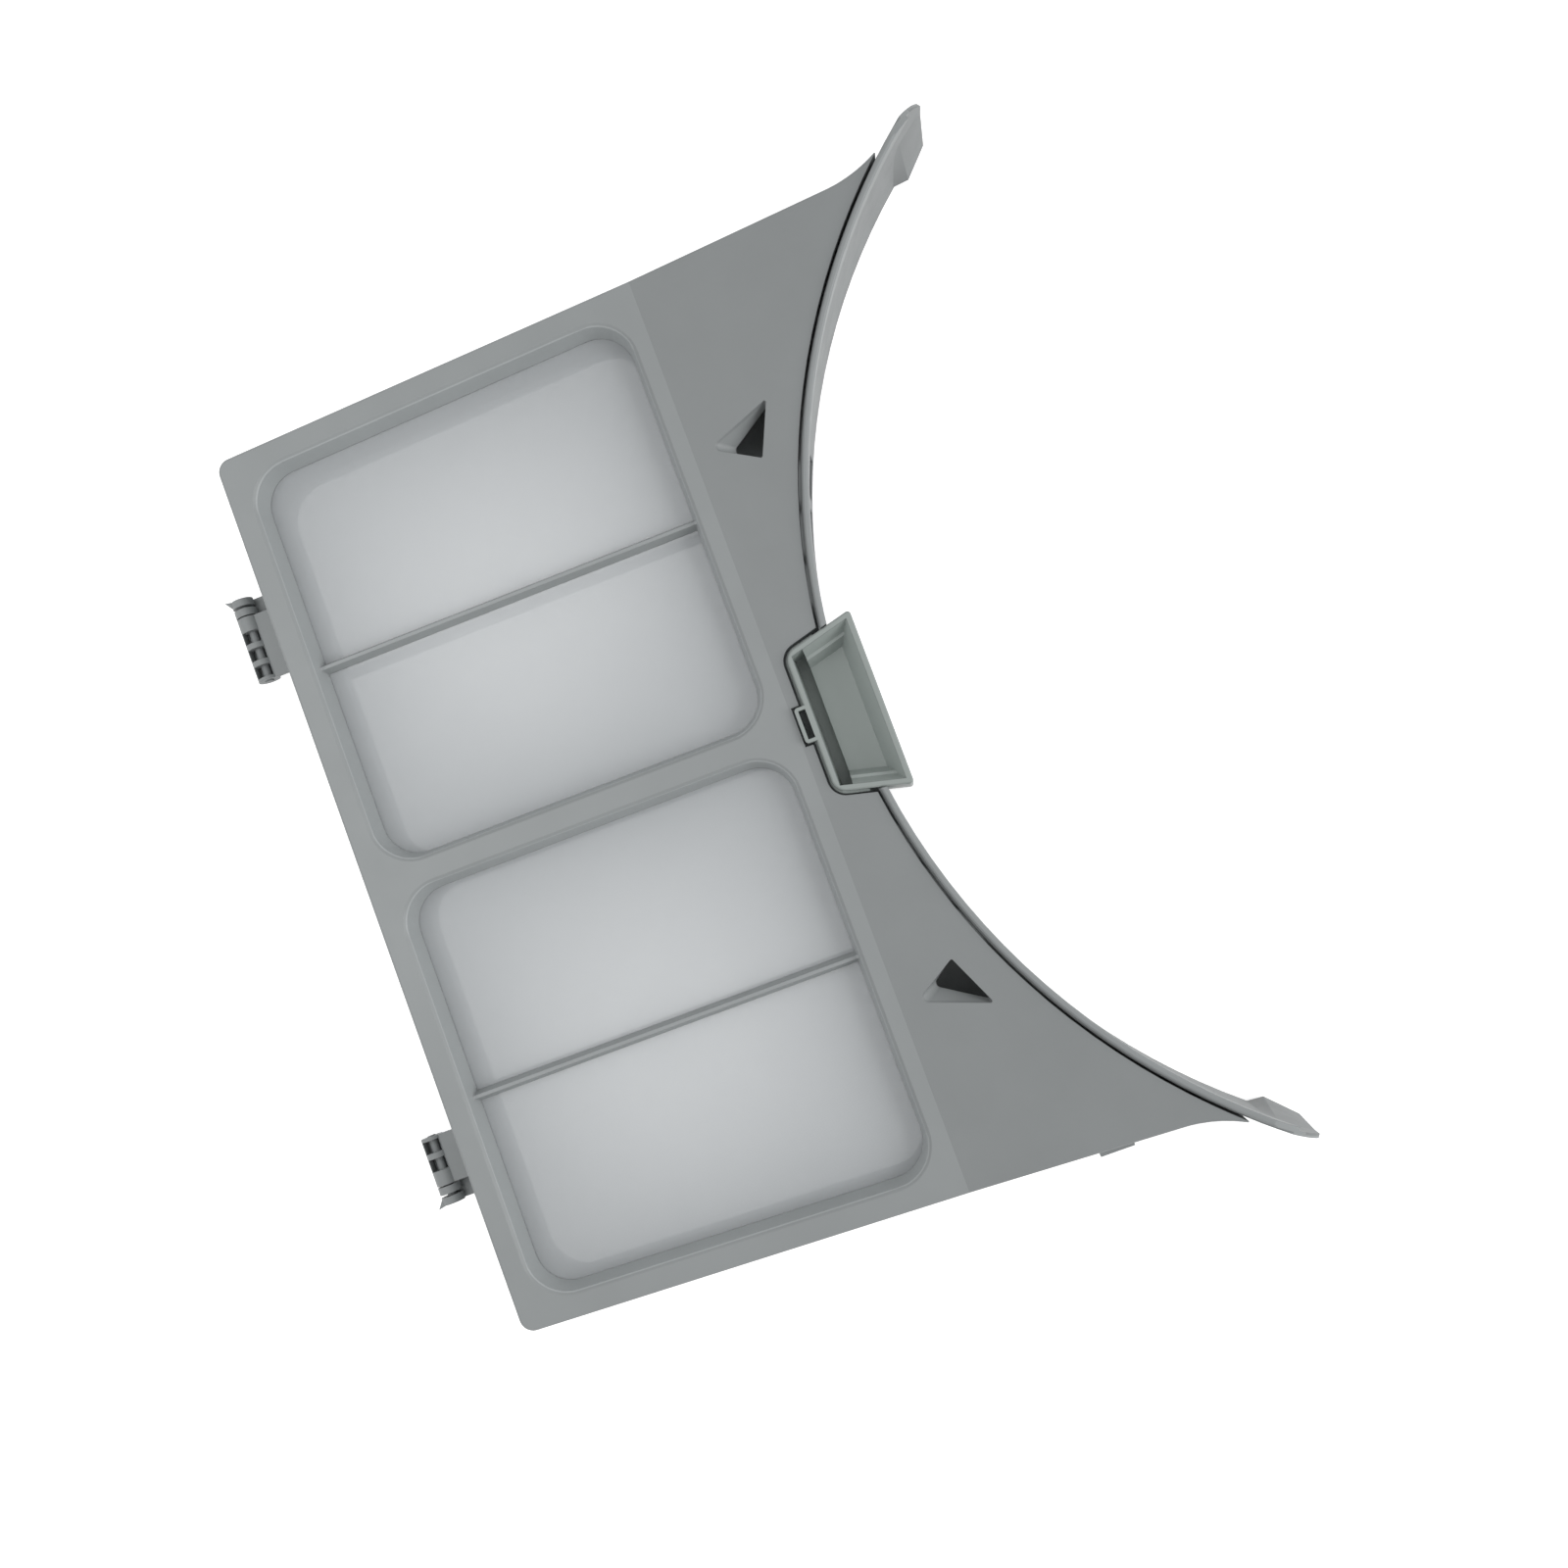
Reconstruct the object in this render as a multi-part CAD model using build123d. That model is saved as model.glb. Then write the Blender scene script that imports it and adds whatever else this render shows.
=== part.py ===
from build123d import *
import math
import os

# Tumble dryer lint filter: two framed leaves of filter cloth, hinged along one edge and closed like a book.
# X runs along the hinge edge, Y from the hinge edge to the concave arc, Z from the rear to the front face.
# Sizes are in millimetres and angles in degrees.

# Leaf outline
hinge_edge_width = 260.0
side_flare = 1.92
hinge_corner_radius = 4.0
closed_thickness = 31.0
plate_thickness = 2.2
wall_thickness = 2.2
parting_gap = 0.5
edge_rounding = 0.8
rim_chamfer = 0.8

# Windows and filter cloth, the same in both leaves
window_border = 7.0
window_length = 116.8
window_corner_radius = 12.0
middle_bar_width = 7.5
pocket_depth = 7.0
pocket_draft = 1.6
sleeve_wall = 1.8
cloth_thickness = 0.6
cloth_overlap = 1.4
crossbar_foot = 3.0
crossbar_crest = 1.0
crossbar_below_face = 3.6

# Arc zone and arc band
crease_margin = 5.2
arc_zone_depth = 16.4
arc_zone_rise = 3.0
arc_radius = 185.2
band_wall = 2.4
band_gap = 0.6
groove_shoulder = 0.6
groove_depth = 1.5
lip_rise = 1.4
lip_chamfer = 0.5
lip_overhang = 1.1
lip_depth = 2.6
horn_reach = 25.5
horn_root_radius = 38.0
horn_tip_run = 18.0
horn_tip_drop = 12.5
horn_tip_bulge = 2.4
flap_tip_reach = 5.0
barb_length = 15.0
barb_return = 4.0
barb_height = 1.7
barb_rise = 24.0

# Air inlets through the arc band, on each side of the handle
inlet_count = 3
inlet_width = 12.0
inlet_post = 3.0
inlet_sill = 3.0
inlet_height = 10.0
inlet_first_offset = 34.0

# Triangular windows in the arc zone of the front leaf
triangle_offset = 81.0
triangle_base = 16.6
triangle_height = 15.2
triangle_lean = 6.4
triangle_arc_margin = 10.3
triangle_corner_radius = 0.5
triangle_point_radius = 1.5
triangle_depth = 4.4
triangle_ramp = 6.0
triangle_side_ramp = 0.8
triangle_wall = 1.2

# Pull handle
handle_back_width = 40.2
handle_pull_width = 50.8
handle_behind_arc = 12.1
handle_before_arc = 8.8
handle_proud = 1.0
handle_corner_radius = 4.0
handle_pull_corner = 1.0
handle_wall = 1.6
handle_chamfer = 0.4
handle_seat_gap = 0.3
finger_depth = 12.0
finger_draft = 4.4
pull_draft = 3.8
finger_ledge = 0.9
finger_ledge_depth = 6.4
trough_width = 3.4
trough_depth = 5.0
notch_gap = 1.3
flange_reach = 0.8
flange_height = 2.0
eye_width = 10.2
eye_reach = 3.0
eye_height = 7.0
eye_bar = 1.0
eye_corner_radius = 1.0
eye_gap = 0.6

# Hinges; the distance is from the middle to the end of the front leaf's knuckle
left_hinge_distance = 89.2
left_hinge_openings = 3
right_hinge_distance = 85.5
right_hinge_openings = 2
hinge_axis_offset = 11.4
knuckle_radius = 3.2
knuckle_inner_end = 0.9
knuckle_outer_end = 4.4
knuckle_rib = 1.7
knuckle_opening_width = 3.6
knuckle_opening_depth = 4.8
knuckle_opening_floor = 1.4
knuckle_side_gap = 0.4
web_thickness = 1.6
rear_rib_width = 2.2
rear_rib_spacing = 0.8
rear_web_end = 2.1
rear_web_end_depth = 3.0
pin_radius = 1.2
pin_running_gap = 0.06
pin_overhang = 0.3
pin_end_wall = 0.8
fin_length = 0.6
fin_reach = 1.4
fin_root = 4.0
fin_height = 3.0

# Side lugs of the rear leaf
lug_distance = 166.0
lug_length = 10.0
lug_reach = 5.0
lug_height = 5.0

# Places that follow from the sizes
parting_height = closed_thickness / 2
hinge_axis_height = parting_height
window_far = window_border + window_length
crease_distance = window_far + crease_margin
arc_middle = crease_distance + arc_zone_depth
arc_centre = arc_middle + arc_radius
far_distance = arc_centre
band_outer_radius = arc_radius + band_wall
handle_length = handle_behind_arc + handle_before_arc
handle_spread = (handle_pull_width - handle_back_width) / 2 / handle_length
flare_slope = math.tan(math.radians(side_flare))
rise_slope = math.tan(math.radians(arc_zone_rise))
joint_overlap = 0.5
tolerance = 0.01


def half_width(y):
    """Half of the leaf's width at a distance y from the hinge edge."""
    return hinge_edge_width / 2 + flare_slope * y


def face_height(y):
    """Height of the front face at a distance y from the hinge edge."""
    return closed_thickness + max(0.0, y - crease_distance) * rise_slope


def side_angle(radius):
    """Angle at the arc centre, from the middle, at which a circle of this radius meets a leaf's side."""
    slant = 1 + flare_slope ** 2
    along = arc_centre * flare_slope + hinge_edge_width / 2
    root = math.sqrt(slant * radius ** 2 - along ** 2)
    y = arc_centre - (along * flare_slope + root) / slant
    return math.degrees(math.asin(half_width(y) / radius))


def arc_point(angle, radius):
    """Point on a circle about the arc centre; the angle counts from the middle of the arc."""
    turn = math.radians(angle)
    return (radius * math.sin(turn), arc_centre - radius * math.cos(turn))


def prism(outline, low, high):
    """Upright solid of a plan outline."""
    return extrude(Pos(0, 0, low) * outline, amount=high - low)


def across(profile):
    """Solid of a profile of (y, z) points, run across the whole width."""
    face = make_face(Polyline(*[(0, y, z) for y, z in profile], close=True))
    return extrude(face, amount=hinge_edge_width, dir=(1, 0, 0), both=True)


def flared_panel(inset, far):
    """Plan of the leaf between its flared sides, set in from the sides and the hinge edge."""
    near_half = half_width(inset) - inset
    far_half = half_width(far) - inset
    corners = [(-near_half, inset), (near_half, inset), (far_half, far), (-far_half, far)]
    return make_face(Polyline(*corners, close=True))


def rounded(solid, radius, chosen):
    """The solid with its chosen edges rounded; the choice is made from an edge's middle point."""
    return fillet(solid.edges().filter_by(lambda edge: chosen(edge @ 0.5)), radius)


def chamfered(solid, size, chosen):
    """The solid with its chosen edges chamfered; the choice is made from an edge's middle point."""
    return chamfer(solid.edges().filter_by(lambda edge: chosen(edge @ 0.5)), size)


def on_outside(point):
    """True for a point on the leaf's hinge edge, its corners or its sides, but not on the arc."""
    return point.Y < hinge_corner_radius or abs(point.X) > half_width(point.Y) - wall_thickness


def left_hand(solid):
    """Mirror image of a right-hand solid on the other side of the middle."""
    return mirror(solid, about=Plane.YZ)


def both_sides(solid):
    return solid + left_hand(solid)


def arc_disc(radius):
    return Pos(0, arc_centre, 0) * Circle(radius)


def arc_sector(angle):
    """Plan of a wedge about the arc centre, that far to each side of the middle, past the hinge edge."""
    reach = 2 * arc_centre / math.cos(math.radians(angle))
    left = arc_point(-angle, reach)
    right = arc_point(angle, reach)
    return make_face(Polyline((0, arc_centre), left, right, close=True))


# Plan outlines

horn_angle = side_angle(band_outer_radius) + math.degrees(horn_reach / band_outer_radius)
flap_radius = band_outer_radius + band_gap
flap_tip_angle = side_angle(flap_radius) + math.degrees(flap_tip_reach / flap_radius)
band_plan = (arc_disc(band_outer_radius) - arc_disc(arc_radius)) & arc_sector(horn_angle)


def leaf_outline():
    """Plan of a leaf with straight flared sides, before the arc is cut out of it."""
    outline = flared_panel(0, far_distance)
    return fillet(outline.vertices().group_by(Axis.Y)[0], hinge_corner_radius)


def horned_outline():
    """Plan of a leaf cut out along the arc, with horns on rounded roots."""
    outline = leaf_outline() - arc_disc(band_outer_radius) + band_plan
    root_x, root_y = arc_point(side_angle(band_outer_radius), band_outer_radius)
    for side in (-1, 1):
        root = outline.vertices().sort_by_distance((side * root_x, root_y, 0))[0]
        outline = fillet(root, horn_root_radius)
    return outline


def handle_outline(gap):
    """Plan of the pull handle, grown by a gap."""
    back = arc_middle - handle_behind_arc - gap
    pull = arc_middle + handle_before_arc + gap
    back_half = handle_back_width / 2 + gap - handle_spread * gap
    pull_half = handle_pull_width / 2 + gap + handle_spread * gap
    corners = [(-back_half, back), (back_half, back), (pull_half, pull), (-pull_half, pull)]
    plan = make_face(Polyline(*corners, close=True))
    plan = fillet(plan.vertices().group_by(Axis.Y)[0], handle_corner_radius + gap)
    pull_corner = handle_pull_corner + gap
    if pull_corner > tolerance:
        plan = fillet(plan.vertices().group_by(Axis.Y)[-1], pull_corner)
    return plan


def window_outline(inset):
    """Plan of the right-hand window, set in from the window's rim."""
    near = window_border + inset
    far = window_far - inset
    inner = middle_bar_width / 2 + inset
    side = window_border + inset
    corners = [(inner, near), (half_width(near) - side, near), (half_width(far) - side, far), (inner, far)]
    plan = make_face(Polyline(*corners, close=True))
    return fillet(plan.vertices(), window_corner_radius - inset)


def pocket(grow):
    """Tapered solid of the right-hand window's pocket in the rear leaf, from its rim up, grown sideways."""
    draft_angle = math.degrees(math.atan(pocket_draft / pocket_depth))
    return extrude(window_outline(-grow), amount=pocket_depth, taper=draft_angle)


def crossbar():
    """Tapered rib over the middle of the right-hand window in the rear leaf, towards the arc."""
    near = window_border
    far = window_far
    centre = (middle_bar_width / 2 + half_width((near + far) / 2) - window_border) / 2
    section = [
        (centre - crossbar_foot / 2, near, pocket_depth),
        (centre + crossbar_foot / 2, near, pocket_depth),
        (centre + crossbar_crest / 2, near, crossbar_below_face),
        (centre - crossbar_crest / 2, near, crossbar_below_face),
    ]
    return extrude(make_face(Polyline(*section, close=True)), amount=far - near, dir=(0, 1, 0))


def cloth():
    """Right-hand sheet of filter cloth in the rear leaf, its edge bonded to the end of the sleeve."""
    return prism(window_outline(pocket_draft - cloth_overlap), pocket_depth, pocket_depth + cloth_thickness)


def turned_over(solid):
    """A solid of the rear leaf, mirrored into its place in the front leaf."""
    return Pos(0, 0, closed_thickness) * mirror(solid, about=Plane.XY)


def add_windows(leaf, face, placed):
    """Cuts both window pockets into a leaf's face, with sleeves down to the cloth and crossbars."""

    def on_rim(point):
        inside = half_width(point.Y) - window_border + tolerance
        along = window_border - tolerance < point.Y < window_far + tolerance
        return along and abs(point.X) < inside and abs(point.Z - face) < tolerance

    leaf = leaf + both_sides(placed(pocket(sleeve_wall)))
    leaf = leaf - both_sides(placed(pocket(0)))
    leaf = chamfered(leaf, rim_chamfer, on_rim)
    return leaf + both_sides(placed(crossbar()))


def axis_bar(radius, near_x, far_x):
    """Round bar on the hinge axis, between two distances from the middle, on the right-hand side."""
    place = Plane(origin=(near_x, -hinge_axis_offset, hinge_axis_height), x_dir=(0, 1, 0), z_dir=(1, 0, 0))
    return extrude(place * Circle(radius), amount=far_x - near_x)


def block(low, high):
    """Box between two opposite corners."""
    size = [b - a for a, b in zip(low, high)]
    centre = [(a + b) / 2 for a, b in zip(low, high)]
    return Pos(*centre) * Box(*size)


# Hinges along X, on the right-hand side; a hinge's place is the end of the front leaf's knuckle

parting_low = parting_height - parting_gap / 2
parting_high = parting_height + parting_gap / 2
knuckle_low = hinge_axis_height - knuckle_radius


def knuckle_start(place, openings):
    """Inner end of a front knuckle with so many openings."""
    row = openings * knuckle_opening_width + (openings - 1) * knuckle_rib
    return place - knuckle_outer_end - row - knuckle_inner_end


def hinge_outer(place):
    """Outer end of a hinge, where its second rear rib ends."""
    return place + knuckle_side_gap + 2 * rear_rib_width + rear_rib_spacing


def front_knuckle(place, openings):
    """Barrel of the front leaf on a web, with a row of blind square openings that show the pin."""
    start = knuckle_start(place, openings)
    web_top = parting_high + web_thickness
    web = block((start, -hinge_axis_offset, parting_high), (place, joint_overlap, web_top))
    knuckle = axis_bar(knuckle_radius, start, place) + web
    for number in range(openings):
        near = start + knuckle_inner_end + number * (knuckle_opening_width + knuckle_rib)
        knuckle -= block(
            (near, -hinge_axis_offset - knuckle_opening_depth / 2, knuckle_low + knuckle_opening_floor),
            (near + knuckle_opening_width, -hinge_axis_offset + knuckle_opening_depth / 2, closed_thickness),
        )
    return knuckle - axis_bar(pin_radius + pin_running_gap, start, place)


def hinge_fin(outer):
    """Pointed fin at the outer end of a hinge."""
    back = -hinge_axis_offset - knuckle_radius
    tip = (outer + fin_length, back - fin_reach)
    root = [(outer - fin_root / 2, back + joint_overlap), (outer - joint_overlap, back + fin_root)]
    plan = make_face(Polyline(tip, *root, close=True))
    return prism(plan, hinge_axis_height - fin_height / 2, hinge_axis_height + fin_height / 2)


def rear_knuckles(place):
    """Two ribs and the fin of the rear leaf on a web, with the bore for the pin, closed at its outer end."""
    outer = hinge_outer(place)
    inner = place + knuckle_side_gap
    web_top = knuckle_low + joint_overlap
    web_low = web_top - web_thickness
    ribs = block((inner, -hinge_axis_offset, web_low), (outer, joint_overlap, web_top))
    ribs += block((inner, -rear_web_end_depth, web_low), (outer + rear_web_end, joint_overlap, web_top))
    for start in (inner, outer - rear_rib_width):
        ribs += axis_bar(knuckle_radius, start, start + rear_rib_width)
    ribs += hinge_fin(outer)
    return ribs - axis_bar(pin_radius, inner, outer - pin_end_wall)


def hinge_pin(place, openings):
    start = knuckle_start(place, openings) - pin_overhang
    return axis_bar(pin_radius, start, hinge_outer(place) - pin_end_wall)


# Triangular window of the front leaf, on the sloping face of the arc zone

triangle_turn = math.degrees(math.asin(triangle_offset / (band_outer_radius + triangle_arc_margin)))
triangle_x, triangle_y = arc_point(triangle_turn, band_outer_radius + triangle_arc_margin)
triangle_plane = Plane(
    origin=(triangle_x, triangle_y, face_height(triangle_y)),
    x_dir=(1, 0, 0),
    z_dir=(0, -math.sin(math.radians(arc_zone_rise)), math.cos(math.radians(arc_zone_rise))),
) * Rot(0, 0, triangle_turn)


def triangle(grow, ramp, side_ramp, depth):
    """Triangle with its base along the arc, its point away from the arc and leaning to the middle."""
    half_base = triangle_base / 2
    corners = [(-half_base, 0), (half_base - side_ramp, 0), (-triangle_lean, ramp - triangle_height)]
    plan = make_face(Polyline(*corners, close=True))
    plan = fillet(plan.vertices().group_by(Axis.Y)[-1], triangle_corner_radius)
    plan = fillet(plan.vertices().group_by(Axis.Y)[0], triangle_point_radius)
    if grow:
        plan = offset(plan, amount=grow)
    return triangle_plane * Pos(0, 0, -depth) * plan


def triangle_funnel(grow):
    """Funnel from the face down to the narrower through opening at the base."""
    top = triangle(grow, 0, 0, 0)
    foot = triangle(grow, triangle_ramp, triangle_side_ramp, triangle_depth)
    return loft([top, foot], ruled=True)


# Front leaf

def build_front_frame():
    eye_recess = block(
        (-eye_width / 2 - eye_gap, arc_middle - handle_behind_arc - eye_reach - eye_gap, parting_high),
        (eye_width / 2 + eye_gap, arc_middle, 2 * closed_thickness),
    )
    outside = [
        (-hinge_corner_radius, parting_high),
        (far_distance, parting_high),
        (far_distance, face_height(far_distance)),
        (crease_distance, closed_thickness),
        (-hinge_corner_radius, closed_thickness),
    ]
    inside = [
        (-hinge_corner_radius, 0),
        (far_distance, 0),
        (far_distance, face_height(far_distance) - plate_thickness),
        (crease_distance, closed_thickness - plate_thickness),
        (-hinge_corner_radius, closed_thickness - plate_thickness),
    ]
    leaf = prism(horned_outline(), 0, 2 * closed_thickness) & across(outside)
    leaf = rounded(leaf, edge_rounding, lambda p: p.Z > closed_thickness - tolerance and on_outside(p))
    leaf -= prism(flared_panel(wall_thickness, far_distance), 0, 2 * closed_thickness) & across(inside)
    leaf -= prism(arc_disc(flap_radius), 0, 2 * closed_thickness)
    leaf &= prism(arc_sector(flap_tip_angle), 0, 2 * closed_thickness)
    leaf -= prism(handle_outline(notch_gap), 0, 2 * closed_thickness)
    leaf -= eye_recess
    leaf = add_windows(leaf, closed_thickness, turned_over)
    leaf += both_sides(triangle_funnel(triangle_wall))
    leaf -= both_sides(triangle_funnel(0))
    leaf += left_hand(front_knuckle(left_hinge_distance, left_hinge_openings))
    return leaf + front_knuckle(right_hinge_distance, right_hinge_openings)


# Rear leaf with the arc band, the horns and the air inlets

def arc_frame(angle, radius, height):
    """Plane that faces away from the arc centre, with its x along the arc to the right and its y upright."""
    turn = math.radians(angle)
    place_x, place_y = arc_point(angle, radius)
    return Plane(
        origin=(place_x, place_y, height),
        x_dir=(math.cos(turn), math.sin(turn), 0),
        z_dir=(math.sin(turn), -math.cos(turn), 0),
    )


def horn_corner():
    """What is taken off the right-hand horn, so that its front edge rounds down to the tip."""
    tip_y = arc_point(horn_angle, arc_radius)[1]
    place = arc_frame(horn_angle, arc_radius, face_height(tip_y) + lip_rise)
    run = horn_tip_run
    drop = horn_tip_drop
    curve = SagittaArc((-run, 0), (0, -drop), horn_tip_bulge)
    rest = Polyline((0, -drop), (run, -drop), (run, drop), (-run, drop), (-run, 0))
    return extrude(place * make_face(curve + rest), amount=2 * band_wall, both=True)


def horn_barb():
    """Low wedge on the inner face of the right-hand horn that fades into the wall towards the lip."""
    wall_radius = arc_radius + lip_overhang
    root_radius = wall_radius + joint_overlap
    fade_radius = wall_radius + joint_overlap / 2
    root_angle = horn_angle - math.degrees(barb_length / arc_radius)
    crest_angle = root_angle + math.degrees(barb_return / arc_radius)

    def section(height, end_radius, crest_radius, start_radius):
        corners = [
            arc_point(horn_angle, root_radius),
            arc_point(horn_angle, end_radius),
            arc_point(crest_angle, crest_radius),
            arc_point(root_angle, start_radius),
            arc_point(root_angle, root_radius),
        ]
        return Pos(0, 0, height) * make_face(Polyline(*corners, close=True))

    foot = section(edge_rounding, arc_radius, arc_radius - barb_height, wall_radius)
    head = section(barb_rise, fade_radius, fade_radius, fade_radius)
    return loft([foot, head], ruled=True)


def air_inlets():
    """Openings through the right-hand half of the band, in a row along the arc."""
    openings = Part()
    for number in range(inlet_count):
        along = inlet_first_offset + inlet_width / 2 + number * (inlet_width + inlet_post)
        place = arc_frame(math.degrees(along / arc_radius), arc_radius, inlet_sill + inlet_height / 2)
        openings += extrude(place * Rectangle(inlet_width, inlet_height), amount=2 * band_wall, both=True)
    return openings


def up_to_face(plan, rise):
    """Upright solid of a plan in the arc zone, up to a rise over the sloping front face."""
    under = [
        (crease_distance, 0),
        (far_distance, 0),
        (far_distance, face_height(far_distance) + rise),
        (crease_distance, closed_thickness + rise),
    ]
    return prism(plan, 0, 2 * closed_thickness) & across(under)


def arc_band():
    """Concave wall along the arc, with a chamfered lip behind the shoulder that floors the parting groove."""
    lip_low = closed_thickness + lip_rise
    end_x = arc_point(horn_angle, arc_radius)[0] - tolerance
    lip_plan = arc_disc(band_outer_radius - groove_shoulder) - arc_disc(arc_radius)
    lip = up_to_face(lip_plan & arc_sector(horn_angle), lip_rise)
    lip = chamfered(lip, lip_chamfer, lambda p: p.Z > lip_low and abs(p.X) < end_x)
    return lip + up_to_face(band_plan, -groove_depth)


def side_lug():
    """Lug on the right-hand side of the rear leaf, just under the parting."""
    root = half_width(lug_distance) - joint_overlap
    return block(
        (root, lug_distance, parting_low - lug_height),
        (root + joint_overlap + lug_reach, lug_distance + lug_length, parting_low),
    )


def build_rear_frame():
    outline = horned_outline()
    inside = flared_panel(wall_thickness, far_distance) - arc_disc(band_outer_radius)
    leaf = prism(outline, 0, parting_low)
    leaf = rounded(leaf, edge_rounding, lambda p: p.Z < tolerance and on_outside(p))
    leaf -= prism(inside, plate_thickness, parting_low)
    leaf += arc_band()
    leaf -= up_to_face(arc_disc(arc_radius + lip_overhang), -lip_depth)
    leaf -= both_sides(horn_corner())
    leaf += both_sides(horn_barb())
    leaf -= both_sides(air_inlets())
    leaf -= prism(handle_outline(handle_seat_gap), plate_thickness, 2 * closed_thickness)
    leaf += prism(handle_outline(0), 0, plate_thickness)
    leaf = add_windows(leaf, 0, Part)
    leaf += left_hand(rear_knuckles(left_hinge_distance))
    leaf += rear_knuckles(right_hinge_distance)
    return leaf + both_sides(side_lug())


# Pull handle: a hollow block with a finger pocket, a deeper trough along the pocket's back and a latch eye

def build_pull_handle():
    back = arc_middle - handle_behind_arc
    pull = arc_middle + handle_before_arc
    top = face_height(arc_middle) + handle_proud
    ledge = top - finger_ledge_depth
    floor = top - finger_depth
    trough_floor = floor - trough_depth
    pocket_back = back + handle_wall
    pocket_pull = pull - handle_wall
    trough_front = pocket_back + trough_width
    ledge_share = finger_ledge_depth / finger_depth
    ledge_draft = (finger_draft - finger_ledge) * ledge_share
    ledge_pull = pocket_pull - pull_draft * ledge_share

    def pocket_plan(far, narrower):
        """Plan of the pocket from its back to a distance from the hinge edge, with its ends moved in."""
        corners = []
        for side, y in ((-1, pocket_back), (1, pocket_back), (1, far), (-1, far)):
            half = handle_back_width / 2 + handle_spread * (y - back) - handle_wall - narrower
            corners.append((side * half, y))
        return make_face(Polyline(*corners, close=True))

    def pocket_part(high, high_plan, low, low_plan):
        return loft([Pos(0, 0, high) * high_plan, Pos(0, 0, low) * low_plan], ruled=True)

    hollow = prism(handle_outline(-handle_wall), plate_thickness, floor - handle_wall)
    hollow -= block(
        (-handle_pull_width, back, trough_floor - handle_wall),
        (handle_pull_width, trough_front + handle_wall, top),
    )
    handle = prism(handle_outline(0), plate_thickness, top)
    handle = chamfered(handle, handle_chamfer, lambda p: p.Z > top - tolerance)
    flange_top = closed_thickness - groove_depth
    flange = prism(handle_outline(flange_reach), flange_top - flange_height, flange_top)
    band_back = arc_middle - band_wall - flange_reach
    handle += flange & block((-handle_pull_width, 0, 0), (handle_pull_width, band_back, top))
    handle -= hollow
    upper_foot = pocket_plan(ledge_pull, ledge_draft)
    lower_rim = pocket_plan(ledge_pull, ledge_draft + finger_ledge)
    lower_foot = pocket_plan(pocket_pull - pull_draft, finger_draft)
    handle -= pocket_part(top, pocket_plan(pocket_pull, 0), ledge, upper_foot)
    handle -= pocket_part(ledge, lower_rim, floor, lower_foot)
    handle -= prism(pocket_plan(trough_front, 0), trough_floor, top)
    eye_plan = make_face(Polyline(
        (-eye_width / 2, back + joint_overlap),
        (-eye_width / 2, back - eye_reach),
        (eye_width / 2, back - eye_reach),
        (eye_width / 2, back + joint_overlap),
        close=True,
    ))
    eye_plan = fillet(eye_plan.vertices().group_by(Axis.Y)[0], eye_corner_radius)
    handle += prism(eye_plan, top - eye_height, top)
    return handle - block(
        (-eye_width / 2 + eye_bar, back - eye_reach + eye_bar, top - 2 * eye_height),
        (eye_width / 2 - eye_bar, back, 2 * top),
    )


# The pieces by name, moved so that the origin lies under the middle of the closed filter

rear_cloth = cloth()
front_cloth = turned_over(rear_cloth)
pieces = {
    "front_frame": build_front_frame(),
    "front_mesh_left": left_hand(front_cloth),
    "front_mesh_right": front_cloth,
    "rear_frame": build_rear_frame(),
    "rear_mesh_left": left_hand(rear_cloth),
    "rear_mesh_right": rear_cloth,
    "pull_handle": build_pull_handle(),
    "hinge_pin_left": left_hand(hinge_pin(left_hinge_distance, left_hinge_openings)),
    "hinge_pin_right": hinge_pin(right_hinge_distance, right_hinge_openings),
}
whole = pieces["rear_frame"].bounding_box()
middle = (whole.min.Y + whole.max.Y) / 2
os.makedirs("parts", exist_ok=True)
for name, piece in pieces.items():
    export_step(Pos(0, -middle, 0) * piece, f"parts/{name}.step")
print(f"hinge edge at y = {-middle:.3f}, hinge axis at y = {-middle - hinge_axis_offset:.3f}")
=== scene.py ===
import math

import bpy
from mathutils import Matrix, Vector


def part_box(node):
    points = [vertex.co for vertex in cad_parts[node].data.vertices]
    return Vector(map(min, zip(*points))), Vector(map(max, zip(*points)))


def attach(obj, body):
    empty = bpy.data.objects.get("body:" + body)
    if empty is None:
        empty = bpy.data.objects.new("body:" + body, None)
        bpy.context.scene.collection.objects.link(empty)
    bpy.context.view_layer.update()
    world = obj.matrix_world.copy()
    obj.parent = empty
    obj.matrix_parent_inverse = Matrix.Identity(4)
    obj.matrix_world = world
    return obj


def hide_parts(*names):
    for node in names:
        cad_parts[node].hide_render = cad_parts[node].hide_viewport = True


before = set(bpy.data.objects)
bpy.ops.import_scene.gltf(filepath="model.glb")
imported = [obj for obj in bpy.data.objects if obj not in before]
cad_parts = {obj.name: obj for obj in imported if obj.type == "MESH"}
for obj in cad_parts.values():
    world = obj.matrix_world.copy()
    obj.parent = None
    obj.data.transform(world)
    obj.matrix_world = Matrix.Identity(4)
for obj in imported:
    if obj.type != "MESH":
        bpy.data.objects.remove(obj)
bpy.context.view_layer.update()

# Rear frame
# The rear leaf is one tray of grey polypropylene, injection moulded with the arc band and its horns, the
# window sleeves, the lugs and the outer hinge ribs. The mould leaves a fine spark-eroded grain on it.

frame_grey = (0.266, 0.282, 0.285, 1.0)
frame_clouding = 0.05
frame_roughness = 0.42
frame_grain_depth = 0.00004

# Finish of all the moulded pieces; the scales are per metre
cloud_scale = 55.0
cloud_detail = 4.0
cloud_darkest_at = 0.3
cloud_palest_at = 0.7
grain_scale = 2600.0
grain_detail = 2.0
grain_strength = 0.6
rub_scale = 140.0
rub_detail = 6.0
rub_roughness = 0.16
edge_softness = 0.0003
edge_samples = 6

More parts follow.
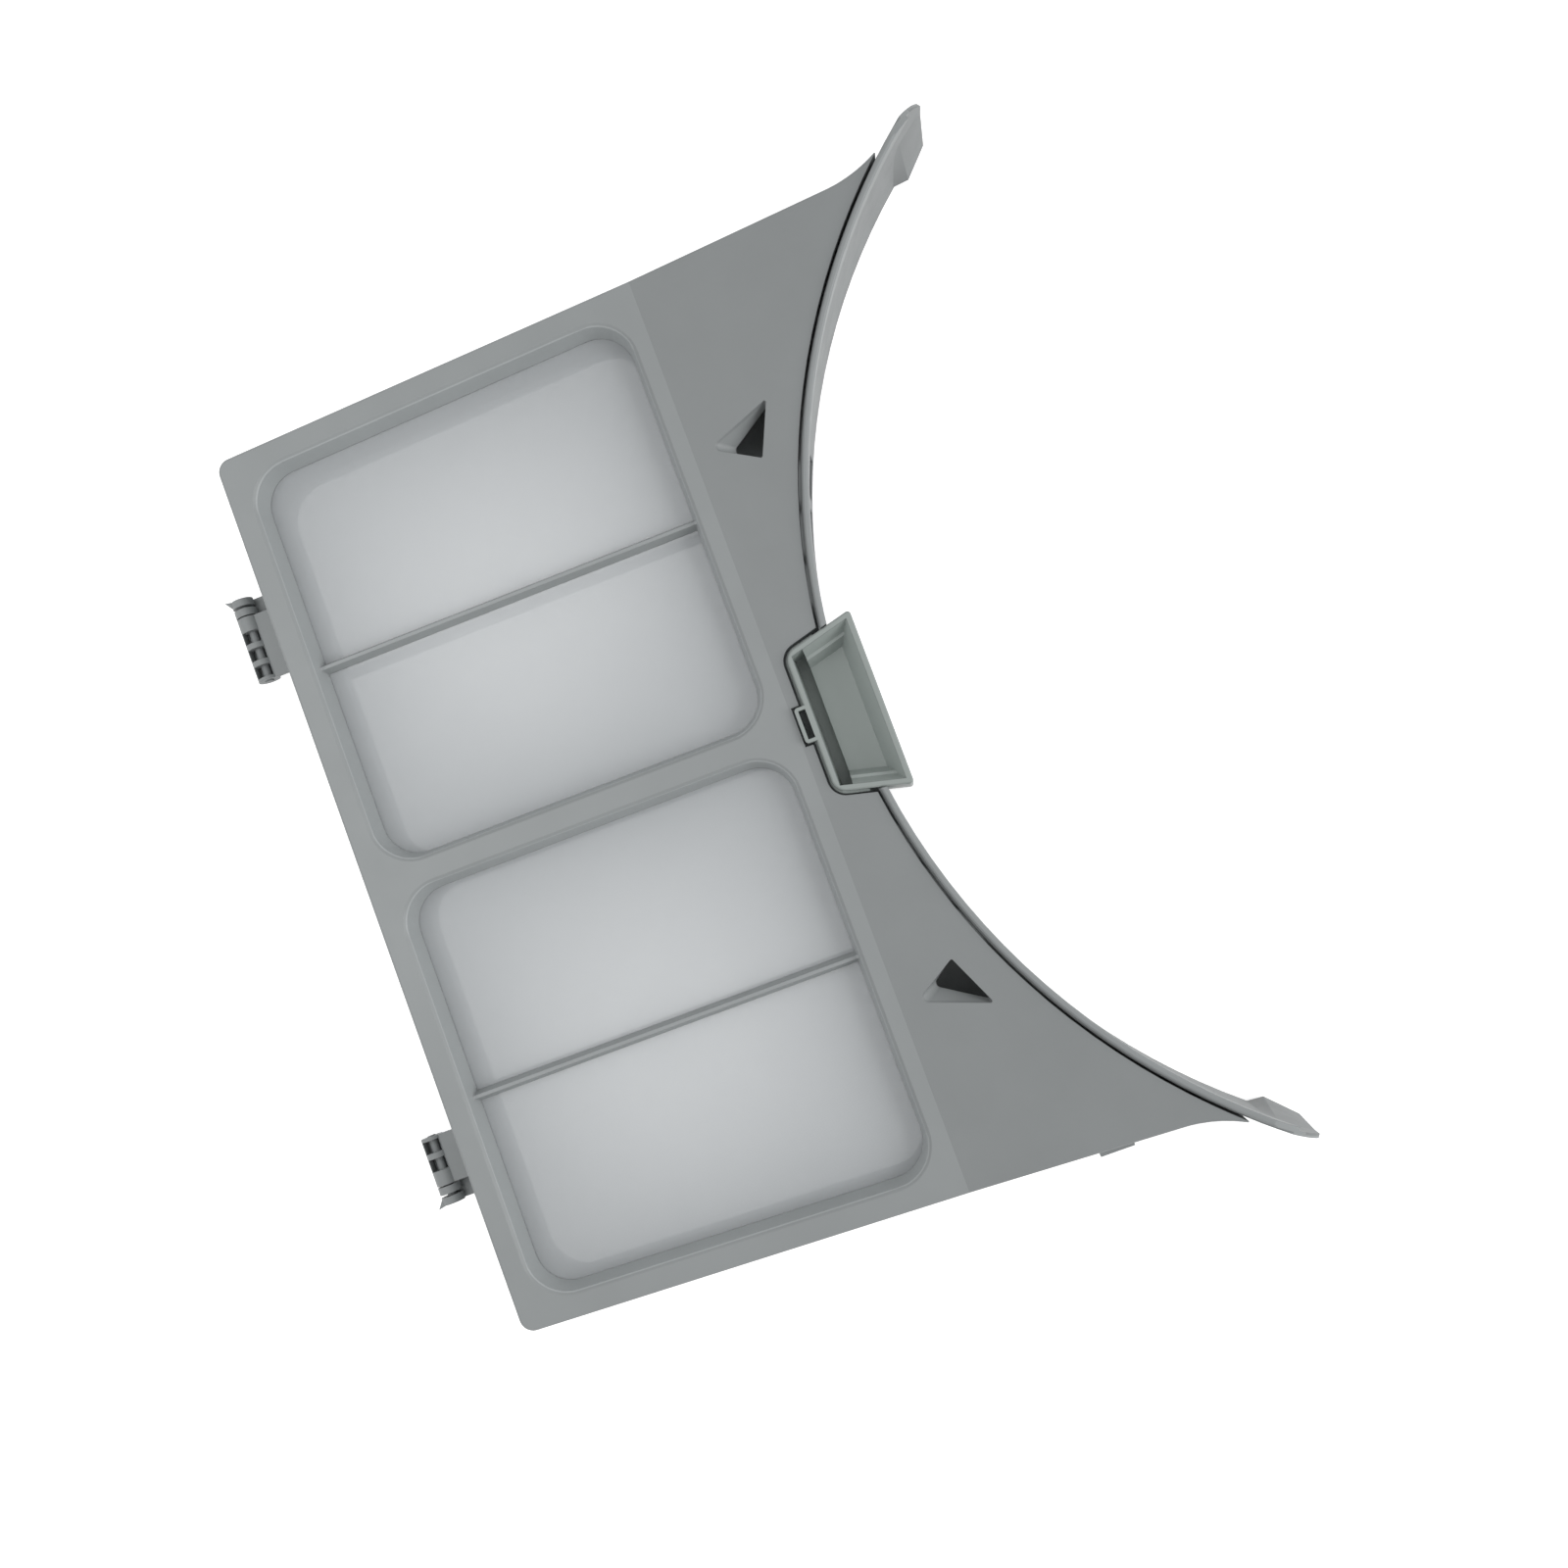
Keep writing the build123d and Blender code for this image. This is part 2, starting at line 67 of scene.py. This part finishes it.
# Zones of another tone, painted shade and painted light among them
arc_middle = (0.0, 0.226943, 0.0)
past_the_filter = 1.0
zone_margin = Vector((0.001, 0.001, 0.001))
band_face_reach = 0.187
band_lip_foot = 0.0313
# Painted shade on the inner face of the arc band
band_face_painted_shade = 0.74

number_math = "ShaderNodeMath"
vector_math = "ShaderNodeVectorMath"


def node_link(tree, source, output, target, entry):
    """Joins one node's output to another node's input."""
    tree.links.new(source.outputs[output], target.inputs[entry])


def math_step(tree, kind, operation, *sources):
    """Adds a math node, fed by numbers, vectors, or pairs of a node and the name of its output."""
    step = tree.nodes.new(kind)
    step.operation = operation
    for entry, source in enumerate(sources):
        if isinstance(source, tuple) and isinstance(source[0], bpy.types.Node):
            node_link(tree, *source, step, entry)
        else:
            step.inputs[entry].default_value = source
    return step


def noise_step(tree, place, scale, detail):
    """Adds a noise texture on the Object coordinates of a piece."""
    noise = tree.nodes.new("ShaderNodeTexNoise")
    noise.inputs["Scale"].default_value = scale
    noise.inputs["Detail"].default_value = detail
    node_link(tree, place, "Object", noise, "Vector")
    return noise


def group_with_sockets(name, inputs, outputs):
    """Adds a node group with named sockets, and returns it with its entry, result and coordinates."""
    group = bpy.data.node_groups.new(name, "ShaderNodeTree")
    for socket, kind in inputs.items():
        group.interface.new_socket(socket, in_out="INPUT", socket_type=kind)
    for socket, kind in outputs.items():
        group.interface.new_socket(socket, in_out="OUTPUT", socket_type=kind)
    entry = group.nodes.new("NodeGroupInput")
    result = group.nodes.new("NodeGroupOutput")
    place = group.nodes.new("ShaderNodeTexCoord")
    return group, entry, result, place


def moulded_grain_group():
    """Node group for moulded plastic: clouded colour, uneven gloss and the grain of the mould."""
    inputs = {
        "Colour": "NodeSocketColor",
        "Clouding": "NodeSocketFloat",
        "Least Roughness": "NodeSocketFloat",
    }
    outputs = {
        "Colour": "NodeSocketColor",
        "Roughness": "NodeSocketFloat",
        "Height": "NodeSocketFloat",
    }
    group, entry, result, place = group_with_sockets("moulded_grain", inputs, outputs)

    # The clouds darken the colour, by the clouding at most
    clouds = noise_step(group, place, cloud_scale, cloud_detail)
    darkest = math_step(group, number_math, "SUBTRACT", 1.0, (entry, "Clouding"))
    dim = group.nodes.new("ShaderNodeMapRange")
    dim.inputs["From Min"].default_value = cloud_darkest_at
    dim.inputs["From Max"].default_value = cloud_palest_at
    node_link(group, clouds, "Fac", dim, "Value")
    node_link(group, darkest, "Value", dim, "To Min")
    shade = math_step(group, vector_math, "SCALE", (entry, "Colour"))
    node_link(group, dim, "Result", shade, "Scale")
    node_link(group, shade, "Vector", result, "Colour")

    grain = noise_step(group, place, grain_scale, grain_detail)
    node_link(group, grain, "Fac", result, "Height")

    # Rubbing by hands and lint makes the gloss uneven
    rub = noise_step(group, place, rub_scale, rub_detail)
    least = (entry, "Least Roughness")
    uneven = math_step(group, number_math, "MULTIPLY_ADD", (rub, "Fac"), rub_roughness, least)
    node_link(group, uneven, "Value", result, "Roughness")
    return group


moulded_grain = moulded_grain_group()


def moulded_plastic(name, colour, clouding, roughness, grain_depth):
    """Material of one moulded plastic; the roughness is its least, and the grain depth is in metres."""
    material = bpy.data.materials.new(name)
    material.use_nodes = True
    tree = material.node_tree
    shader = tree.nodes["Principled BSDF"]
    surface = tree.nodes.new("ShaderNodeGroup")
    surface.node_tree = moulded_grain
    surface.inputs["Colour"].default_value = colour
    surface.inputs["Clouding"].default_value = clouding
    surface.inputs["Least Roughness"].default_value = roughness
    soft_edge = tree.nodes.new("ShaderNodeBevel")
    soft_edge.samples = edge_samples
    soft_edge.inputs["Radius"].default_value = edge_softness
    bump = tree.nodes.new("ShaderNodeBump")
    bump.inputs["Distance"].default_value = grain_depth
    bump.inputs["Strength"].default_value = grain_strength
    node_link(tree, soft_edge, "Normal", bump, "Normal")
    node_link(tree, surface, "Colour", shader, "Base Color")
    node_link(tree, surface, "Roughness", shader, "Roughness")
    node_link(tree, surface, "Height", bump, "Height")
    node_link(tree, bump, "Normal", shader, "Normal")
    return material


def zone_tone_group():
    """Node group that makes a colour darker or paler inside a box, as far as a given reach from the middle
    of the arc; it carries painted shade and painted light.
    """
    inputs = {
        "Colour": "NodeSocketColor",
        "Lowest": "NodeSocketVector",
        "Highest": "NodeSocketVector",
        "Reach": "NodeSocketFloat",
        "Tone": "NodeSocketFloat",
    }
    outputs = {"Colour": "NodeSocketColor"}
    group, entry, result, place = group_with_sockets("zone_tone", inputs, outputs)

    # How far inside the box a place lies, on each axis from the nearer side
    above = math_step(group, vector_math, "SUBTRACT", (place, "Object"), (entry, "Lowest"))
    below = math_step(group, vector_math, "SUBTRACT", (entry, "Highest"), (place, "Object"))
    depth = math_step(group, vector_math, "MINIMUM", (above, "Vector"), (below, "Vector"))
    parts = group.nodes.new("ShaderNodeSeparateXYZ")
    node_link(group, depth, "Vector", parts, "Vector")

    # How far inside the reach it lies, seen from above
    seen_from_above = (1.0, 1.0, 0.0)
    plan = math_step(group, vector_math, "MULTIPLY", (place, "Object"), seen_from_above)
    distance = math_step(group, vector_math, "DISTANCE", (plan, "Vector"), arc_middle)
    spare = math_step(group, number_math, "SUBTRACT", (entry, "Reach"), (distance, "Value"))

    # Inside the zone all of these are above zero
    sideways = math_step(group, number_math, "MINIMUM", (parts, "X"), (parts, "Y"))
    upright = math_step(group, number_math, "MINIMUM", (parts, "Z"), (spare, "Value"))
    least = math_step(group, number_math, "MINIMUM", (sideways, "Value"), (upright, "Value"))
    inside = math_step(group, number_math, "GREATER_THAN", (least, "Value"), 0.0)
    tone = group.nodes.new("ShaderNodeMapRange")
    tone.inputs["To Min"].default_value = 1.0
    node_link(group, inside, "Value", tone, "Value")
    node_link(group, entry, "Tone", tone, "To Max")
    shade = math_step(group, vector_math, "SCALE", (entry, "Colour"))
    node_link(group, tone, "Result", shade, "Scale")
    node_link(group, shade, "Vector", result, "Colour")
    return group


zone_tone = zone_tone_group()


def tone_zone(material, lowest, highest, tone, reach=past_the_filter):
    """Makes a material darker or paler between two corners of a box, for painted shade, painted light or a
    tone of its own.
    """
    tree = material.node_tree
    shader = tree.nodes["Principled BSDF"]
    plain = shader.inputs["Base Color"].links[0].from_socket
    zone = tree.nodes.new("ShaderNodeGroup")
    zone.node_tree = zone_tone
    zone.inputs["Lowest"].default_value = lowest
    zone.inputs["Highest"].default_value = highest
    zone.inputs["Reach"].default_value = reach
    zone.inputs["Tone"].default_value = tone
    tree.links.new(plain, zone.inputs["Colour"])
    node_link(tree, zone, "Colour", shader, "Base Color")


def finish_node(node, material):
    """Gives a solid of the frame its finish."""
    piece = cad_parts[node]
    piece.data.materials.clear()
    piece.data.materials.append(material)


rear_plastic = moulded_plastic(
    "rear_frame_plastic", frame_grey, frame_clouding, frame_roughness, frame_grain_depth)

# Painted shade: the inner face of the arc band, below its lip, is painted darker than the lip
rear_low, rear_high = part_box("rear_frame")
band_shade_top = (rear_high.x, rear_high.y, band_lip_foot)
tone_zone(rear_plastic, rear_low - zone_margin, band_shade_top, band_face_painted_shade, band_face_reach)
finish_node("rear_frame", rear_plastic)

# Rear filter cloth
# Two panels of fine polyester net in the rear windows, cut to the shape of the windows. Their edges are
# welded to the inner ends of the sleeves, and the welding leaves them tight, bowed inwards by a hair.

sides = ("left", "right")
net_thickness = 0.0002
net_bow = 0.00025
net_cells = 36
net_white = (0.732, 0.754, 0.77, 1.0)
# Painted shade of the net towards its edges
net_edge_painted_shade = (0.525, 0.55, 0.565, 1.0)
net_roughness = 0.6
net_sheen = 0.15
haze_scale = 32.0
haze_detail = 3.0
haze_share = 0.12

# The weave; the cover is the share of the light that the net stops
net_pitch = 0.0003
thread_foot = 0.35
thread_crown = 0.75
hole_cover = 0.40
thread_cover = 0.51
thread_height = 0.0001
thread_strength = 0.25

# Limits for merging a panel's corners, telling its flat faces from its edges and smoothing it
merge_distance = 1e-7
flat_facing = 0.9
flat_angle = math.radians(1)
smooth_angle = math.radians(40)


def net_weave_group():
    """Node group for a plain weave of crossing threads, on the X and Y of the piece."""
    inputs = {"Pitch": "NodeSocketFloat"}
    outputs = {"Threads": "NodeSocketFloat"}
    group, entry, result, place = group_with_sockets("net_weave", inputs, outputs)
    # A wave texture of scale 1 repeats every tenth of pi
    wave_length = math.pi / 10
    density = math_step(group, number_math, "DIVIDE", wave_length, (entry, "Pitch"))
    either = math_step(group, number_math, "MAXIMUM")
    for slot, direction in enumerate(("X", "Y")):
        threads = group.nodes.new("ShaderNodeTexWave")
        threads.wave_type = "BANDS"
        threads.bands_direction = direction
        node_link(group, place, "Object", threads, "Vector")
        node_link(group, density, "Value", threads, "Scale")
        node_link(group, threads, "Fac", either, slot)
    node_link(group, either, "Value", result, "Threads")
    return group


net_weave = net_weave_group()


def net_material():
    """White polyester net: the threads stop a little more light than the fine holes between them."""
    material = bpy.data.materials.new("filter_net")
    material.use_nodes = True
    tree = material.node_tree
    shader = tree.nodes["Principled BSDF"]
    shader.inputs["Roughness"].default_value = net_roughness
    shader.inputs["Sheen Weight"].default_value = net_sheen
    weave = tree.nodes.new("ShaderNodeGroup")
    weave.node_tree = net_weave
    weave.inputs["Pitch"].default_value = net_pitch
    place = tree.nodes.new("ShaderNodeTexCoord")

    # Painted shade: white in the middle of the panel and painted greyer towards its edges, where the
    # sleeves shade it, under an uneven haze of the net's own tone
    haze = noise_step(tree, place, haze_scale, haze_detail)
    cloudy = math_step(tree, number_math, "MULTIPLY", (haze, "Fac"), haze_share)
    edge_shade_mask = tree.nodes.new("ShaderNodeAttribute")
    edge_shade_mask.attribute_name = "slack"
    painted_shade_mix = math_step(tree, number_math, "ADD", (edge_shade_mask, "Fac"), (cloudy, "Value"))
    painted_shade_mix.use_clamp = True
    tint = tree.nodes.new("ShaderNodeMix")
    tint.data_type = "RGBA"
    tint.inputs["A"].default_value = net_edge_painted_shade
    tint.inputs["B"].default_value = net_white
    node_link(tree, painted_shade_mix, "Value", tint, "Factor")
    node_link(tree, tint, "Result", shader, "Base Color")

    cover = tree.nodes.new("ShaderNodeMapRange")
    cover.inputs["From Min"].default_value = thread_foot
    cover.inputs["From Max"].default_value = thread_crown
    cover.inputs["To Min"].default_value = hole_cover
    cover.inputs["To Max"].default_value = thread_cover
    node_link(tree, weave, "Threads", cover, "Value")
    node_link(tree, cover, "Result", shader, "Alpha")

    bump = tree.nodes.new("ShaderNodeBump")
    bump.inputs["Distance"].default_value = thread_height
    bump.inputs["Strength"].default_value = thread_strength
    node_link(tree, weave, "Threads", bump, "Height")
    node_link(tree, bump, "Normal", shader, "Normal")
    return material


net_finish = net_material()


def tight_net(name, node, body, inwards):
    """One panel of net in the outline of its solid, bowed towards the inside of the filter."""
    low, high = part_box(node)
    size = high - low
    centre = (low + high) / 2
    bpy.ops.object.select_all(action="DESELECT")
    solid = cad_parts[node]
    piece = bpy.data.objects.new(name, solid.data.copy())
    bpy.context.scene.collection.objects.link(piece)
    bpy.context.view_layer.objects.active = piece
    piece.select_set(True)

    # Only the solid's top face stays, cut into a fine grid
    bpy.ops.object.mode_set(mode="EDIT")
    bpy.ops.mesh.select_all(action="SELECT")
    bpy.ops.mesh.remove_doubles(threshold=merge_distance)
    bpy.ops.mesh.select_mode(type="FACE")
    bpy.ops.mesh.select_all(action="DESELECT")
    bpy.ops.object.mode_set(mode="OBJECT")
    for face in piece.data.polygons:
        face.select = face.normal.z < flat_facing
    bpy.ops.object.mode_set(mode="EDIT")
    bpy.ops.mesh.delete(type="FACE")
    bpy.ops.mesh.select_all(action="SELECT")
    bpy.ops.mesh.dissolve_limited(angle_limit=flat_angle)
    for cut in range(1, net_cells):
        share = cut / net_cells
        for axis in (Vector((1, 0, 0)), Vector((0, 1, 0))):
            bpy.ops.mesh.select_all(action="SELECT")
            bpy.ops.mesh.bisect(plane_co=low + share * size, plane_no=axis)
    bpy.ops.object.mode_set(mode="OBJECT")

    # The slack is one in the middle of the panel and zero at its edges; it bows the panel and masks the
    # painted shade towards its edges
    slack = piece.data.attributes.new("slack", "FLOAT", "POINT")
    for vertex in piece.data.vertices:
        across = 2 * (vertex.co.x - centre.x) / size.x
        along = 2 * (vertex.co.y - centre.y) / size.y
        slack.data[vertex.index].value = (1 - across ** 2) * (1 - along ** 2)
        vertex.co.z = centre.z + inwards * net_bow * slack.data[vertex.index].value

    wall = piece.modifiers.new("thickness", "SOLIDIFY")
    wall.thickness = net_thickness
    wall.offset = 0.0
    bpy.ops.object.modifier_apply(modifier=wall.name)
    bpy.ops.object.shade_smooth_by_angle(angle=smooth_angle)

    piece.data.materials.clear()
    piece.data.materials.append(net_finish)
    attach(piece, body)
    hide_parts(node)


for side in sides:
    tight_net(f"rear_net_{side}", f"rear_mesh_{side}", "rear_leaf", 1)

# Pull handle
# A separate hollow block of the same plastic from a smoother mould, clipped into the rear frame at the
# middle of the arc. Its pocket takes three fingers, and its small eye is the catch.

handle_grey = (0.285, 0.316, 0.304, 1.0)
handle_clouding = 0.04
handle_roughness = 0.34
handle_grain_depth = 0.00002
handle_wall = 0.0016
eye_reach = 0.003
rim_depth = 0.0005
# Painted light on the walls of the finger pocket
finger_pocket_painted_light = 1.3

handle_plastic = moulded_plastic(
    "handle_plastic", handle_grey, handle_clouding, handle_roughness, handle_grain_depth)

# Painted light: the thin walls of the finger pocket are painted paler than its rim
handle_low, handle_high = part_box("pull_handle")
finger_pocket_low = handle_low + Vector((handle_wall, eye_reach + handle_wall, 0))
finger_pocket_high = handle_high - Vector((handle_wall, handle_wall, rim_depth))
tone_zone(handle_plastic, finger_pocket_low, finger_pocket_high, finger_pocket_painted_light)
finish_node("pull_handle", handle_plastic)

# Hinge pins
# Two round pins of grey acetal, cut from drawn rod and pressed into the rear frame's ribs. The front
# leaf's knuckles turn on them, and they show in the square openings of the hinges.

pin_grey = (0.25, 0.265, 0.27, 1.0)
pin_clouding = 0.03
pin_roughness = 0.45
pin_grain_depth = 0.00001

pin_plastic = moulded_plastic("pin_plastic", pin_grey, pin_clouding, pin_roughness, pin_grain_depth)
for side in sides:
    finish_node(f"hinge_pin_{side}", pin_plastic)

# Front frame
# The front leaf is a second moulding of the same grey plastic, a lid that closes on the rear leaf. It has
# the same two windows, a crease, and a zone that rises to the arc with two triangular windows in it.

front_face = 0.031
crease_y = 0.025343
arc_zone_skin = 0.0001
arc_zone_tone = 0.87
window_rim = 0.0002
window_rim_depth = 0.0005
# Painted light on the window walls, partly taken back on the crossbars
window_pocket_painted_light = 1.3
crossbar_place = 0.0645
crossbar_half = 0.0023
crossbar_below_face = 0.0025
crossbar_from_wall = 0.0012
crossbar_less_painted_light = 0.84

front_plastic = moulded_plastic(
    "front_frame_plastic", frame_grey, frame_clouding, frame_roughness, frame_grain_depth)

# The zone beyond the crease looks darker than the border
front_low, front_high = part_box("front_frame")
arc_zone_low = (front_low.x, crease_y, front_face - arc_zone_skin)
tone_zone(front_plastic, arc_zone_low, front_high + zone_margin, arc_zone_tone)

# Painted light: the thin walls of the windows are painted paler than the border, and the crossbars between
# them less so
pocket_top = front_face - window_rim_depth
crossbar_top = front_face - crossbar_below_face
for side in sides:
    cloth_low, cloth_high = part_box(f"front_mesh_{side}")
    pocket_low = (cloth_low.x - window_rim, cloth_low.y - window_rim, front_low.z)
    pocket_high = (cloth_high.x + window_rim, cloth_high.y + window_rim, pocket_top)
    tone_zone(front_plastic, pocket_low, pocket_high, window_pocket_painted_light)
    crossbar_x = math.copysign(crossbar_place, cloth_low.x)
    crossbar_low = (crossbar_x - crossbar_half, cloth_low.y + crossbar_from_wall, front_low.z)
    crossbar_high = (crossbar_x + crossbar_half, cloth_high.y - crossbar_from_wall, crossbar_top)
    tone_zone(front_plastic, crossbar_low, crossbar_high, crossbar_less_painted_light)
finish_node("front_frame", front_plastic)

# Front filter cloth
# Two more panels of the same polyester net, cut to the front windows and welded to the inner ends of their
# sleeves. They bow the other way, towards the rear leaf.

for side in sides:
    tight_net(f"front_net_{side}", f"front_mesh_{side}", "front_leaf", -1)

# Floor and light
# A white table under the filter, an even white room around it, a small soft lamp above the hinge edge
# and a broad one farther off, beyond the arc.

plain_white = (1.0, 1.0, 1.0, 1.0)
floor_drop = 0.0004
floor_width = 6.0
floor_white = (0.9, 0.9, 0.9, 1.0)
floor_roughness = 0.9
floor_glow = 0.6
room_level = 0.57
hinge_lamp = {"place": (-0.06, -0.2, 0.35), "width": 0.3, "watts": 0.42}
arc_lamp = {"place": (0.57, 1.54, 1.15), "width": 1.2, "watts": 18.0}


def seen_directly(tree):
    """One where the camera, a mirror or glass looks at the surface, and zero for light that falls on it."""
    path = tree.nodes.new("ShaderNodeLightPath")
    no_glass = math_step(tree, number_math, "MAXIMUM", (path, "Is Camera Ray"), (path, "Is Glossy Ray"))
    return math_step(tree, number_math, "MAXIMUM", (no_glass, "Value"), (path, "Is Transmission Ray"))


bpy.ops.object.select_all(action="DESELECT")
bpy.ops.mesh.primitive_plane_add(size=floor_width, location=(0, 0, -floor_drop))
floor = bpy.context.object
floor.name = "floor"
floor_finish = bpy.data.materials.new("floor_white")
floor_finish.use_nodes = True
floor_tree = floor_finish.node_tree
floor_shader = floor_tree.nodes["Principled BSDF"]
floor_shader.inputs["Base Color"].default_value = floor_white
floor_shader.inputs["Roughness"].default_value = floor_roughness
floor_shader.inputs["Emission Color"].default_value = plain_white
floor_seen = seen_directly(floor_tree)
glow = math_step(floor_tree, number_math, "MULTIPLY", (floor_seen, "Value"), floor_glow)
node_link(floor_tree, glow, "Value", floor_shader, "Emission Strength")
floor.data.materials.append(floor_finish)

room = bpy.data.worlds.new("white_room")
room.use_nodes = True
bpy.context.scene.world = room
room_tree = room.node_tree
room_light = room_tree.nodes["Background"]
room_light.inputs["Color"].default_value = plain_white
level = room_tree.nodes.new("ShaderNodeMapRange")
level.inputs["To Min"].default_value = room_level
node_link(room_tree, seen_directly(room_tree), "Value", level, "Value")
node_link(room_tree, level, "Result", room_light, "Strength")

for facts in (hinge_lamp, arc_lamp):
    bpy.ops.object.light_add(type="AREA", location=facts["place"])
    lamp = bpy.context.object
    lamp.data.shape = "SQUARE"
    lamp.data.size = facts["width"]
    lamp.data.energy = facts["watts"]
    lamp.rotation_euler = Vector(facts["place"]).to_track_quat("Z", "Y").to_euler()

# Camera
# It looks down on the filter from above the handle, a little to the right of the middle, and is turned so
# that the hinge edge is at the left of the picture.

camera_place = (0.037923, 0.046431, 0.460059)
camera_turn = [math.radians(angle) for angle in (1.7273, 4.8399, 69.4937)]
camera_sensor = 36.0
camera_lens = 36.0
camera_nearest = 0.01

bpy.ops.object.camera_add(location=camera_place, rotation=camera_turn)
camera = bpy.context.object
camera.data.sensor_width = camera_sensor
camera.data.lens = camera_lens
camera.data.clip_start = camera_nearest
bpy.context.scene.camera = camera
bpy.context.scene.view_settings.view_transform = "Standard"
